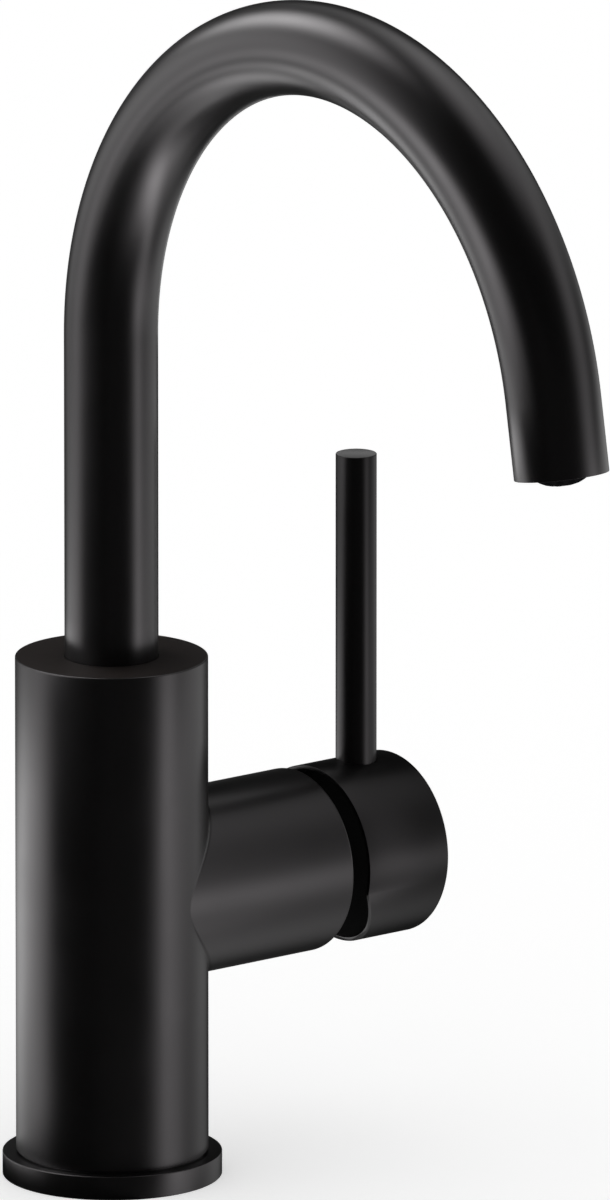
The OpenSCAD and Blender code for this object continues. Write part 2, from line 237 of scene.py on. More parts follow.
def grow_ring(axis, centre, outline):
    """Extrudes and scales the selected ring from point to point of an outline."""
    radius, reach = outline[0]
    for next_radius, next_reach in outline[1:]:
        move = along(axis, (0, 0, 0), next_reach - reach)
        bpy.ops.mesh.extrude_region_move(TRANSFORM_OT_translate={"value": move})
        scale = next_radius / radius
        if abs(scale - 1) > 1e-9:
            value = (1, scale, scale) if axis == "X" else (scale, scale, 1)
            bpy.ops.transform.resize(value=value, center_override=along(axis, centre, next_reach))
        radius, reach = next_radius, next_reach


def merge_all():
    """In edit mode, selects the whole mesh and merges its doubles."""
    bpy.ops.mesh.select_all(action="SELECT")
    bpy.ops.mesh.remove_doubles(threshold=1e-6)


def close_up(caps=True):
    """Merges doubles, fills the open ends and turns all faces outwards."""
    merge_all()
    if caps:
        bpy.ops.mesh.fill_holes(sides=0)
        bpy.ops.mesh.select_all(action="SELECT")
    bpy.ops.mesh.normals_make_consistent(inside=False)
    bpy.ops.object.mode_set(mode="OBJECT")


def turned(name, outline, axis="Z", centre=(0, 0, 0), steps=128):
    """A turned part. Its outline is a list of (radius, reach); ends that don't meet are filled."""
    pick_none()
    add_ring(axis, centre, *outline[0], steps)
    piece = name_it(name)
    edit_all(piece)
    grow_ring(axis, centre, outline)
    close_up()
    return flatten(piece)


def flatten(piece):
    """Moves a piece's place and turn into its mesh."""
    pick(piece)
    bpy.ops.object.transform_apply(location=True, rotation=True, scale=True)
    return piece


def pin(radius, low, high, x=0, y=0, steps=48):
    """A plain upright pin that cuts a hole."""
    return turned("pin_cutter", [(radius, low), (radius, high)], centre=(x, y, 0), steps=steps)


def modify(piece, kind, **settings):
    """Shapes a piece with a modifier, which is applied at once."""
    modifier = piece.modifiers.new(kind, kind)
    for name, value in settings.items():
        setattr(modifier, name, value)
    pick(piece)
    bpy.ops.object.modifier_apply(modifier=modifier.name)


def ease_edges(piece, width, segments=2, angle=35):
    """Breaks the sharp edges with a small rounded bevel."""
    modify(
        piece, "BEVEL", width=width, segments=segments, limit_method="ANGLE",
        angle_limit=math.radians(angle), use_clamp_overlap=True, miter_outer="MITER_ARC",
    )


def cut_away(piece, cutters, operation="DIFFERENCE"):
    """Cuts each cutter out of a piece, or keeps what they share, and deletes the cutter."""
    for cutter in cutters:
        modify(piece, "BOOLEAN", operation=operation, solver="EXACT", object=cutter)
        pick(cutter)
        bpy.ops.object.delete()


def join(pieces, name):
    """Joins pieces into the first one."""
    pick(pieces[0])
    for other in pieces[1:]:
        other.select_set(True)
    bpy.ops.object.join()
    return name_it(name)


def corner(radius, reach, size, start, steps=4):
    """Rounded corner of an outline: a quarter circle round (radius, reach), from an angle."""
    turns = [math.radians(start + 90 * i / steps) for i in range(steps + 1)]
    return [(radius + size * math.cos(turn), reach + size * math.sin(turn)) for turn in turns]


def places_round(count, start, out):
    """Places spread on a circle round the Z axis, the first at an angle."""
    turns = [math.radians(start + 360 * i / count) for i in range(count)]
    return [(out * math.cos(turn), out * math.sin(turn)) for turn in turns]


@contextmanager
def edit_mesh():
    """The mesh in edit mode, which Blender is told of at the end."""
    yield bmesh.from_edit_mesh(bpy.context.object.data)
    bmesh.update_edit_mesh(bpy.context.object.data)


def pick_loose_rings(test):
    """In edit mode, selects only the open edges whose both ends pass a test."""
    bpy.ops.mesh.select_all(action="DESELECT")
    with edit_mesh() as mesh:
        for edge in mesh.edges:
            if len(edge.link_faces) < 2 and all(test(v.co) for v in edge.verts):
                for part in (edge, *edge.verts):
                    part.select = True


def edit_vertices(move):
    """In edit mode, moves each selected vertex to where move() puts it."""
    with edit_mesh() as mesh:
        for vertex in mesh.verts:
            if vertex.select:
                vertex.co = move(vertex.co)


# ---- materials


def new_material(name):
    """A new material and its node tree."""
    made = bpy.data.materials.new(name)
    made.use_nodes = True
    return made, made.node_tree


def feed(tree, node, inputs):
    """Gives each input of a node its value, or links it to an output or a node's first output."""
    for socket, value in inputs.items():
        if isinstance(value, bpy.types.Node):
            value = value.outputs[0]
        if isinstance(value, bpy.types.NodeSocket):
            tree.links.new(value, node.inputs[socket])
        else:
            node.inputs[socket].default_value = value


def add_node(tree, kind, inputs=None, **settings):
    """Adds a shader node, sets it and feeds its inputs."""
    node = tree.nodes.new("ShaderNode" + kind)
    for name, value in settings.items():
        setattr(node, name, value)
    feed(tree, node, inputs or {})
    return node


def noise(tree, vector, per_mm, detail=3.0, roughness=0.5, stretch=None):
    """Noise with so many features to the millimetre, stretched along an axis if asked."""
    if stretch:
        vector = add_node(tree, "Mapping", {"Vector": vector, "Scale": stretch})
    return add_node(tree, "TexNoise", {
        "Vector": vector, "Scale": per_mm, "Detail": detail, "Roughness": roughness,
    })


def coat(colours, tones, gloss, patches, relief, grain, sockets=None):
    """A finish: two colours spread over the tones' noise, two roughnesses over the patches'
    noise, and a relief of some strength and depth in mm over the grain's noise."""
    made, tree = new_material("coat")
    place = add_node(tree, "TexCoord").outputs["Object"]
    mm = add_node(tree, "Mapping", {"Vector": place, "Scale": (1 / MM,) * 3})
    tone = add_node(tree, "ValToRGB", {"Fac": noise(tree, mm, *tones)})
    for element, colour, start in zip(tone.color_ramp.elements, colours, (0.35, 0.65)):
        element.position = start
        element.color = (*colour, 1)
    rough = add_node(tree, "MapRange", {
        "Value": noise(tree, mm, *patches), "From Min": 0.3, "From Max": 0.7,
        "To Min": gloss[0], "To Max": gloss[1],
    })
    strength, depth = relief
    raised = add_node(tree, "Bump", {
        "Height": noise(tree, mm, *grain), "Strength": strength, "Distance": depth * MM,
    })
    feed(tree, tree.nodes["Principled BSDF"], {
        "Base Color": tone, "Roughness": rough, "Normal": raised, **(sockets or {}),
    })
    return made


def times(factor, colour):
    """A colour made lighter or darker."""
    return [factor * c for c in colour]


def black_coat(dark, light, rough, specular):
    """Matte black coat on brass: near black, satin, with a very fine grain."""
    return coat(
        (dark, light), (1.6, 4.0, 0.6), (rough - 0.02, rough + 0.02), (0.06, 2.0),
        (0.10, 0.01), (5.0, 3.0),
        {"Specular IOR Level": specular, "Specular Tint": (1.0, 0.945, 0.975, 1)},
    )


def black_finish(colours):
    """The coat on the body and the spout."""
    return black_coat(colours.black, colours.black_light, colours.black_gloss, 0.5)


def handle_finish(colours):
    """The same coat on the handle, which comes out a little duller."""
    return black_coat(colours.black, colours.black_light, colours.black_gloss, 0.25)


def hub_inside_painted_light(colours):
    """Inside the handle hub: a dull coat without reflection, its colour lighter than the black coat,
    which is painted light in the shaded bore.
    """
    return black_coat(colours.inside, times(1.2, colours.inside), 0.8, 0.0)


def flat_top_painted_light(colours):
    """The coat on the body's flat top, coarser than on the turned walls; its lighter, warmer colour is
    painted light on the top face.
    """
    return black_coat(colours.flat, times(1.15, colours.flat), 0.5, 0.2)


def brass(colours):
    """Machined brass with fine turning marks and slight tarnish."""
    marks = (0.5, 3.0, 0.5, (0.2, 0.2, 12))
    return coat(
        (times(0.72, colours.brass), colours.brass), (0.12, 5.0, 0.6), (0.26, 0.40), marks,
        (0.15, 0.02), marks, {"Metallic": 1.0},
    )


def stainless(colours):
    """Fine brushed stainless steel."""
    lines = (1.2, 4.0, 0.55, (0.15, 6, 6))
    return coat(
        (times(0.8, colours.steel), colours.steel), lines, (0.22, 0.36), lines,
        (0.12, 0.01), lines, {"Metallic": 1.0},
    )


def black_rubber(colours):
    """Moulded black rubber, matt, with a dusty bloom."""
    bloom = (0.3, 5.0, 0.65)
    pale = [c + 0.016 for c in colours.rubber]
    return coat((colours.rubber, pale), bloom, (0.62, 0.78), bloom, (0.25, 0.02), (6.0, 2.0))


def natural_nylon(colours):
    """Natural acetal plastic, slightly glossy and milky."""
    milk = (0.15, 3.0)
    return coat(
        (times(0.93, colours.nylon), colours.nylon), milk, (0.34, 0.44), milk,
        (0.08, 0.01), (3.0, 2.0), {"Subsurface Weight": 0.08, "Subsurface Scale": 1.5 * MM},
    )


def graphite_plastic(colours):
    """Dark moulded plastic with a fine spark-eroded grain."""
    grain = (4.0, 3.0, 0.6)
    return coat(
        (times(0.7, colours.graphite), colours.graphite), grain, (0.70, 0.80), grain,
        (0.2, 0.015), grain, {"Specular IOR Level": 0.0},
    )


def ceramic(colours):
    """Lapped alumina, ivory and satin, with fine lapping marks."""
    return coat(
        (times(0.94, colours.ceramic), colours.ceramic), (0.25, 4.0), (0.16, 0.26), (2.5, 3.0),
        (0.05, 0.005), (8.0, 2.0),
    )


MAKERS = {
    maker.__name__: maker
    for maker in (
        black_finish, handle_finish, hub_inside_painted_light, flat_top_painted_light, brass, stainless,
        black_rubber, natural_nylon, graphite_plastic, ceramic,
    )
}


def material(slot_name):
    """The material of a slot, made the first time that it is asked for."""
    found = bpy.data.materials.get(slot_name + "_coat")
    if found:
        return found
    made = MAKERS[slot_name](bpy.context.scene.faucet_finish)
    made.name = slot_name + "_coat"
    return made


# ---- the stage


WHITE = (1, 1, 1, 1)


def plain_light(name, strength):
    """A material that gives off an even white light."""
    made, tree = new_material(name)
    tree.nodes.clear()
    light = add_node(tree, "Emission", {"Color": WHITE, "Strength": strength})
    add_node(tree, "OutputMaterial", {"Surface": light})
    return made


def background_rays(tree):
    """1 for the rays that should see a white background: camera, glossy and transmission."""
    rays = add_node(tree, "LightPath").outputs
    seen = rays["Is Camera Ray"]
    for kind in ("Is Glossy Ray", "Is Transmission Ray"):
        seen = add_node(tree, "Math", {0: seen, 1: rays[kind]}, operation="MAXIMUM")
    return seen


def view_axes(stage):
    """The camera's right, up and back directions."""
    turn, rise = stage.view_turn, stage.view_rise
    right = Vector((math.cos(turn), -math.sin(turn), 0))
    up = Vector((math.sin(rise) * math.sin(turn), math.sin(rise) * math.cos(turn), math.cos(rise)))
    return right, up, right.cross(up)


def place_camera(stage):
    """Puts the camera where the photograph was taken from."""
    right, up, back = view_axes(stage)
    aim_right, aim_up, aim_height = 44.816 * MM, 133.106 * MM, 138.6 * MM
    depth = aim_height * math.sin(stage.view_rise) + stage.view_distance
    pick_none()
    bpy.ops.object.camera_add()
    camera = bpy.context.object
    camera.name = "photo_camera"
    turn = Matrix((right, up, back)).transposed().to_4x4()
    turn.translation = right * aim_right + up * aim_up + back * depth
    camera.matrix_world = turn
    half_height, sensor = 138.91 * MM, 36
    camera.data.sensor_width = sensor
    camera.data.lens = sensor / 2 * stage.view_distance / half_height
    camera.data.clip_start = 0.1
    camera.data.clip_end = 50
    bpy.context.scene.camera = camera


def white_world(stage):
    """White behind everything, and a low even light on the object."""
    world = bpy.data.worlds.new("studio")
    world.use_nodes = True
    bpy.context.scene.world = world
    tree = world.node_tree
    fill = tree.nodes["Background"]
    feed(tree, fill, {"Color": WHITE, "Strength": stage.fill_light})
    white = add_node(tree, "Background", {"Color": WHITE, "Strength": 1.0})
    mix = add_node(tree, "MixShader", {"Fac": background_rays(tree), 1: fill, 2: white})
    feed(tree, tree.nodes["World Output"], {"Surface": mix})


def white_floor(stage):
    """The deck: a pale floor that is white to the camera and keeps the faucet's shadow."""
    pick_none()
    bpy.ops.mesh.primitive_circle_add(vertices=96, radius=6.0, fill_type="NGON")
    floor = name_it("floor")
    made, tree = new_material("floor")
    lift = add_node(tree, "Math", {
        0: background_rays(tree), 1: 1.0 - stage.fill_light * stage.floor_colour[0],
    }, operation="MULTIPLY")
    shader = tree.nodes["Principled BSDF"]
    feed(tree, shader, {
        "Base Color": (*stage.floor_colour, 1), "Roughness": 0.9, "Specular IOR Level": 0.0,
        "Emission Color": WHITE, "Emission Strength": lift,
    })
    below = add_node(tree, "NewGeometry").outputs["Backfacing"]
    clear = add_node(tree, "BsdfTransparent")
    mix = add_node(tree, "MixShader", {"Fac": below, 1: shader, 2: clear})
    feed(tree, tree.nodes["Material Output"], {"Surface": mix})
    floor.data.materials.append(made)
    floor.visible_glossy = False


def only_reflections(card):
    """Marks a card of the stage that nothing but reflections sees."""
    for rays in ("camera", "diffuse", "shadow", "transmission"):
        setattr(card, "visible_" + rays, False)


def dark_reflection_card(right, to_camera):
    """A black card that only reflections see, lying on the table to the left of the base: a painted
    dark reflection in the base ring's left side.
    """
    pick_none()
    bpy.ops.mesh.primitive_circle_add(vertices=64, radius=36 * MM, fill_type="NGON")
    mat = name_it("dark_reflection_card")
    mat.location = right * -25 * MM + to_camera * 8 * MM + Vector((0, 0, 0.2 * MM))
    mat.data.materials.append(plain_light("dark_reflection_card", 0.0))
    only_reflections(mat)


def rod_card(to_camera):
    """A small white card behind the lever, which the rod's flat end reflects."""
    pick_none()
    bpy.ops.mesh.primitive_grid_add(x_subdivisions=2, y_subdivisions=2, size=1)
    card = name_it("rod_card")
    card.scale = (40 * MM, 30 * MM, 1)
    end = Vector(((ROD_LOW.x + ROD_HIGH.x) / 2, 0, ROD_HIGH.z))
    card.location = end - to_camera * 70 * MM + Vector((0, 0, 24 * MM))
    card.rotation_mode = "QUATERNION"
    card.rotation_quaternion = to_camera.to_track_quat("Z", "Y")
    card.data.materials.append(plain_light("rod_card", 0.8))
    only_reflections(card)


# Each soft box or black flag: how far round from the camera to the right and how high it
# stands, and how far it is rolled, in degrees; its half width and half height where the tent's
# radius is 1; and its radiance, below nought for a flag.
SOFT_BOXES = (
    (-124, 70, -20, 0.23, 0.53, 6.74),
    (-68, 27, 16, 0.78, 0.28, 5.01),
    (-115, -26, -84, 0.26, 0.69, 3.57),
    (-102, -50, -18, 0.54, 1.76, 2.22),
    (-112, -5, 7, 1.03, 0.23, 4.35),
    (79, -6, -69, 0.32, 0.78, 1.52),
    (122, 6, 75, 0.62, 0.83, 0.85),
    (68, 14, -6, 0.35, 1.05, 1.32),
    (90, 59, 10, 0.85, 0.58, 0.85),
    (83, -66, 45, 1.40, 0.74, 0.96),
    (160, 26, -89, 1.15, 0.29, -0.67),
    (30, -61, 23, 1.34, 0.29, 6.43),
    (-98, 44, 43, 1.14, 0.60, 1.88),
    (-41, 35, 10, 0.57, 1.04, -1.09),
    (-103, -9, 18, 1.21, 0.36, -1.53),
    (44, 54, 40, 0.44, 0.57, -0.72),
    (104, 76, -82, 0.26, 0.83, 1.01),
    (20, -58, 63, 0.62, 0.60, 1.34),
    (69, 3, 0, 0.30, 0.30, 1.29),
    (167, 38, 14, 0.39, 0.45, -0.25),
    (-36, 19, 0, 0.30, 0.51, 0.80),
)


def light_tent(stage):
    """The dark tent round the table with its soft boxes, which only reflections see."""
    pick_none()
    bpy.ops.mesh.primitive_uv_sphere_add(segments=96, ring_count=48, radius=1.0)
    tent = name_it("light_tent")
    tent.location = (0, 0, stage.tent_height)
    tent.scale = (stage.tent_radius,) * 3
    made = plain_light("light_tent", 0.0)
    tree = made.node_tree
    place = add_node(tree, "TexCoord").outputs["Object"]
    right, _, back = view_axes(stage)
    to_camera = Vector((back.x, back.y, 0)).normalized()
    total, darkest = stage.tent_cloth, 0.02
    for round_to, rise, roll, half_width, half_height, radiance in SOFT_BOXES:
        turn, lift = math.radians(round_to), math.radians(rise)
        level = to_camera * math.cos(turn) + right * math.sin(turn)
        wide = right * math.cos(turn) - to_camera * math.sin(turn)
        out = level * math.cos(lift) + Vector((0, 0, math.sin(lift)))
        axes = Matrix((wide, out.cross(wide), out)).transposed()
        axes = axes @ Matrix.Rotation(math.radians(roll), 3, "Z")
        box = add_node(tree, "Mapping", {
            "Vector": place, "Location": out, "Rotation": axes.to_euler(),
            "Scale": (half_width, half_height, 1),
        }, vector_type="TEXTURE")
        glow = add_node(tree, "TexGradient", {"Vector": box}, gradient_type="SPHERICAL")
        soft = add_node(tree, "MapRange", {
            "Value": glow.outputs["Fac"], "To Max": radiance * stage.tent_light,
        }, interpolation_type="SMOOTHSTEP")
        total = add_node(tree, "Math", {0: total, 1: soft})
    lit = add_node(tree, "Math", {0: total, 1: darkest}, operation="MAXIMUM")
    feed(tree, tree.nodes["Emission"], {"Strength": lit})
    tent.data.materials.append(made)
    only_reflections(tent)
    dark_reflection_card(right, to_camera)
    rod_card(to_camera)


class FAUCET_OT_stage(bpy.types.Operator):
    """Set up the camera, the white floor and the soft light"""

    bl_idname = "faucet.stage"
    bl_label = "Stage"

    def execute(self, context):
        stage = context.scene.faucet_stage
        context.scene.view_settings.view_transform = "Standard"
        place_camera(stage)
        white_world(stage)
        white_floor(stage)
        light_tent(stage)
        return {"FINISHED"}


# ---- the pieces


class FAUCET_OT_base_ring(bpy.types.Operator):
    """Turn the base ring and its gasket"""

    bl_idname = "faucet.base_ring"
    bl_label = "Base ring"

    def execute(self, context):
        s = sizes()
        bore, land, lip = 16.8 * MM, 19.5 * MM, 1.3 * MM
        recess = 2 * MM
        ease = 0.28 * MM
        outline = [
            (bore, 0), (land, 0), (land, recess), (s.ring_radius - lip, recess),
            (s.ring_radius - lip, 0), (s.ring_radius - 0.15 * MM, 0), (s.ring_radius, 0.15 * MM),
            *corner(s.ring_radius - ease, s.ring_height - ease, ease, 0),
            (bore, s.ring_height), (bore, 0),
        ]
        ring = turned("base_ring_turned", outline, steps=192)
        finish_of(ring, "black_finish", "faucet", "base_ring")

        inner, outer = land + 0.1 * MM, s.ring_radius - lip - 0.1 * MM
        middle, groove = (inner + outer) / 2, 0.7 * MM
        outline = [
            (inner, 0), (middle - groove, 0), (middle - groove / 2, groove),
            (middle + groove / 2, groove), (middle + groove, 0), (outer, 0),
            (outer, recess), (inner, recess), (inner, 0),
        ]
        gasket = turned("base_gasket_moulded", outline, steps=160)
        ease_edges(gasket, 0.2 * MM)
        finish_of(gasket, "black_rubber", "faucet", "base_gasket")
        return {"FINISHED"}


class FAUCET_OT_body(bpy.types.Operator):
    """Model the upright body with its side housing, filleted where they meet"""

    bl_idname = "faucet.body"
    bl_label = "Body and housing"

    STEPS = 192          # round the body
    WINDOW_HALF = 52     # steps of the body, each side, that the housing's window takes
    WINDOW_RISE = 26.8 * MM
    LEVELS = 52
    FILLET_STEPS = 8
    ROOM_TOP = 40 * MM   # ceiling of the hose room, where the inlets are

    def execute(self, context):
        s = sizes()
        body = self.turn_body(s)
        self.open_window(s)
        self.add_housing(s)
        self.join_housing(s)
        close_up()
        flatten(body)
        cut_away(body, [self.port(side) for side in (-1, 1)])
        finish_of(body, "black_finish", "faucet", "faucet_body")
        # The flat top's faces get their own coat, which carries painted light on the top.
        level = s.body_top - 0.01 * MM
        coat_faces(body, "flat_top_painted_light", lambda face: face.normal.z > 0.99 and face.center.z > level)
        return {"FINISHED"}

    def turn_body(self, s):
        """The body of revolution, from the hose room inside to the neck's bore."""
        seam, top_ease = 0.6 * MM, 0.35 * MM
        room, shank_seat, seat_top = 15 * MM, 16.55 * MM, 21 * MM
        neck_bore, neck_foot = 11.25 * MM, 88 * MM
        lip, lip_foot = neck_bore - 0.2 * MM, s.body_top - 1.5 * MM
        low, high = s.handle_height - self.WINDOW_RISE, s.handle_height + self.WINDOW_RISE
        levels = [low + (high - low) * i / self.LEVELS for i in range(self.LEVELS + 1)]
        outline = [
            (room, self.ROOM_TOP), (room, seat_top), (shank_seat, seat_top),
            (shank_seat, s.body_foot),
            (s.body_radius - seam, s.body_foot), (s.body_radius - seam, s.body_foot + seam),
            (s.body_radius, s.body_foot + seam), *[(s.body_radius, z) for z in levels],
            *corner(s.body_radius - top_ease, s.body_top - top_ease, top_ease, 0),
            (lip, s.body_top), (lip, lip_foot), (neck_bore, lip_foot), (neck_bore, neck_foot),
        ]
        pick_none()
        add_ring("Z", (0, 0, 0), *outline[0], self.STEPS)
        body = name_it("faucet_body_cast")
        edit_all(flatten(body))
        grow_ring("Z", (0, 0, 0), outline)
        merge_all()
        return body

    def open_window(self, s):
        """Deletes the body's wall where the housing leaves it."""
        bpy.ops.mesh.select_all(action="DESELECT")
        half_angle = (self.WINDOW_HALF + 0.1) * 2 * math.pi / self.STEPS
        with edit_mesh() as mesh:
            for face in mesh.faces:
                middle = face.calc_center_median()
                ahead = abs(math.atan2(middle.y, middle.x)) < half_angle
                face.select_set(ahead and self.on_wall(s, middle))
        bpy.ops.mesh.delete(type="FACE")

    def on_wall(self, s, co):
        """Whether a point lies on the body's wall, at the window's level."""
        far = abs(math.hypot(co.x, co.y) - s.body_radius) < 0.01 * s.body_radius
        return far and abs(co.z - s.handle_height) < self.WINDOW_RISE + 1e-5

    def ring_angles(self, s):
        """One angle round the housing for each vertex on the window's edge."""
        mesh = bmesh.from_edit_mesh(bpy.context.object.data)
        contact = self.fillet_point(s, 0.0, 1.0)
        reach = math.atan2(contact.y, contact.x)
        rise = self.fillet_point(s, math.pi / 2, 1.0).z - s.handle_height
        angles = []
        for vertex in mesh.verts:
            on_edge = any(len(e.link_faces) == 1 for e in vertex.link_edges)
            if on_edge and self.on_wall(s, vertex.co):
                turn = math.atan2(vertex.co.y, vertex.co.x)
                angles.append(math.atan2((vertex.co.z - s.handle_height) / rise, turn / reach))
        return sorted(angles)

    def fillet_point(self, s, angle, share_done):
        """A point of the rolling-ball fillet, from the housing (0) to the body (1)."""
        ball = s.housing_fillet
        far = s.housing_radius + ball
        out = s.body_radius + ball
        y, z = far * math.cos(angle), far * math.sin(angle)
        x = math.sqrt(out * out - y * y)
        to_housing = Vector((0, -math.cos(angle), -math.sin(angle)))
        to_body = Vector((-x / out, -y / out, 0))
        between = to_housing.angle(to_body)
        mixed = (
            to_housing * math.sin((1 - share_done) * between) + to_body * math.sin(share_done * between)
        ) / math.sin(between)
        return Vector((x, y, z + s.handle_height)) + ball * mixed

    def add_housing(self, s):
        """Turns the housing and its bores, and rolls the fillet down to the body."""
        angles = self.ring_angles(s)
        ease = 0.9 * MM
        start = s.housing_end - ease
        bpy.ops.mesh.select_all(action="DESELECT")
        axis = (0, 0, s.handle_height)
        add_ring("X", axis, s.housing_radius, start, len(angles))
        with edit_mesh() as mesh:
            ring = [v for v in mesh.verts if v.select]
            ring.sort(key=lambda v: math.atan2(v.co.z - s.handle_height, v.co.y))
            for vertex, angle in zip(ring, angles):
                vertex.co.y = s.housing_radius * math.cos(angle)
                vertex.co.z = s.handle_height + s.housing_radius * math.sin(angle)
        for i in range(self.FILLET_STEPS + 1):
            self.extrude_to(s, i / self.FILLET_STEPS)
        pick_loose_rings(lambda co: abs(co.x - start) < 1e-6)
        thread, thread_foot, chamfer = 19.05 * MM, 40 * MM, 0.25 * MM
        chamber, chamber_foot = 17.6 * MM, 13 * MM
        grow_ring("X", axis, [
            (s.housing_radius, start),
            *corner(s.housing_radius - ease, s.housing_end - ease, ease, 0, 6)[1:],
            (thread + chamfer, s.housing_end), (thread, s.housing_end - chamfer),
            (thread, thread_foot), (chamber, thread_foot), (chamber, chamber_foot),
        ])

    def extrude_to(self, s, share_done):
        """Extrudes the ring and lays it on the fillet, each vertex at its own angle."""
        with edit_mesh() as mesh:
            layer = mesh.verts.layers.float.get("angle") or mesh.verts.layers.float.new("angle")
            if share_done == 0:
                for vertex in mesh.verts:
                    if vertex.select:
                        vertex[layer] = math.atan2(vertex.co.z - s.handle_height, vertex.co.y)
        bpy.ops.mesh.extrude_region_move()
        with edit_mesh() as mesh:
            layer = mesh.verts.layers.float["angle"]
            for vertex in mesh.verts:
                if vertex.select:
                    vertex.co = self.fillet_point(s, vertex[layer], share_done)

    def join_housing(self, s):
        """Bridges the fillet to the window's edge and presses the new faces onto the wall."""
        def to_wall(co):
            out = s.body_radius / math.hypot(co.x, co.y)
            return Vector((co.x * out, co.y * out, co.z))
        pick_loose_rings(lambda co: self.on_wall(s, co) and co.x > -10 * MM)
        bpy.ops.mesh.bridge_edge_loops(number_cuts=9, interpolation="LINEAR")
        edit_vertices(to_wall)

    def port(self, side):
        """The shape that cuts one threaded inlet into the hose room's ceiling."""
        room, deep, pitch, turns = self.ROOM_TOP, 10 * MM, 1 * MM, 8
        core, crest, offset = 4.5 * MM, 4.9 * MM, 6.5 * MM
        outline = [(crest, room - MM), (crest, room + 0.2 * MM)]
        for i in range(turns):
            low = room + 0.4 * MM + i * pitch
            outline += [(core, low), (crest, low + pitch / 2)]
        outline.append((core, room + deep))
        return turned("port_cutter", outline, centre=(0, side * offset, 0), steps=48)


class FAUCET_OT_spout(bpy.types.Operator):
    """Bend the gooseneck tube"""

    bl_idname = "faucet.spout"
    bl_label = "Gooseneck"

    def execute(self, context):
        s = sizes()
        pick_none()
        add_ring("Z", (0, 0, 0), s.tube_diameter / 2, s.tube_foot, 128)
        tube = flatten(name_it("gooseneck_tube"))
        edit_all(tube)
        lengths = 4
        for _ in range(lengths):
            rise = (s.bend_start - s.tube_foot) / lengths
            bpy.ops.mesh.extrude_region_move(TRANSFORM_OT_translate={"value": (0, 0, rise)})
        bpy.ops.mesh.spin(
            steps=136, angle=-s.bend_angle, center=(0, -s.bend_radius, s.bend_start), axis=(1, 0, 0)
        )
        step = outlet_down(s) * s.outlet_length
        bpy.ops.mesh.extrude_region_move(TRANSFORM_OT_translate={"value": step})
        close_up(False)
        modify(tube, "SOLIDIFY", thickness=s.tube_wall, offset=-1)
        ease_edges(tube, 0.18 * MM, 2, 60)
        finish_of(tube, "black_finish", "spout", "spout_tube")
        return {"FINISHED"}


def outlet_down(s):
    """The direction in which the water leaves."""
    return Vector((0, -math.sin(s.bend_angle), math.cos(s.bend_angle)))


def at_outlet(s):
    """The outlet's own frame: its Z points back up the tube."""
    down = outlet_down(s)
    bend_end = Vector((
        0, -s.bend_radius + s.bend_radius * math.cos(s.bend_angle),
        s.bend_start + s.bend_radius * math.sin(s.bend_angle)
    ))
    back_up = -down
    side = Vector((1, 0, 0))
    turn = Matrix((side, back_up.cross(side), back_up)).transposed().to_4x4()
    turn.translation = bend_end + down * s.outlet_length
    return turn


class FAUCET_OT_outlet(bpy.types.Operator):
    """Model the aerator in the spout's end, with its nozzles"""

    bl_idname = "faucet.outlet"
    bl_label = "Aerator"

    def execute(self, context):
        s = sizes()
        radius, inner, floor_up, top = 8.3 * MM, 7.2 * MM, 3 * MM, 8 * MM
        dome = [(0.9, -2.2), (2.5, -2.1), (3.9, -1.75), (5.1, -1.2), (6.2, -0.5), (7.5, 0.1)]
        outline = [
            *[(r * MM, z * MM) for r, z in dome], (radius - 0.2 * MM, 0.3 * MM),
            (radius, 0.5 * MM), (radius, top), (inner, top), (inner, floor_up),
        ]
        insert = turned("aerator_moulded", outline, steps=96)
        nozzle = [(0.9 * MM, -3 * MM), (0.75 * MM, 4 * MM)]
        nozzles = [
            turned("nozzle_cutter", nozzle, centre=(x, y, 0), steps=20)
            for x, y in ((0, 0), *places_round(6, 0, 2.6 * MM), *places_round(12, 15, 5.1 * MM))
        ]
        cut_away(insert, [join(nozzles, "nozzle_cutters")])
        insert.matrix_world = at_outlet(s)
        flatten(insert)
        finish_of(insert, "graphite_plastic", "spout", "aerator_insert")
        return {"FINISHED"}


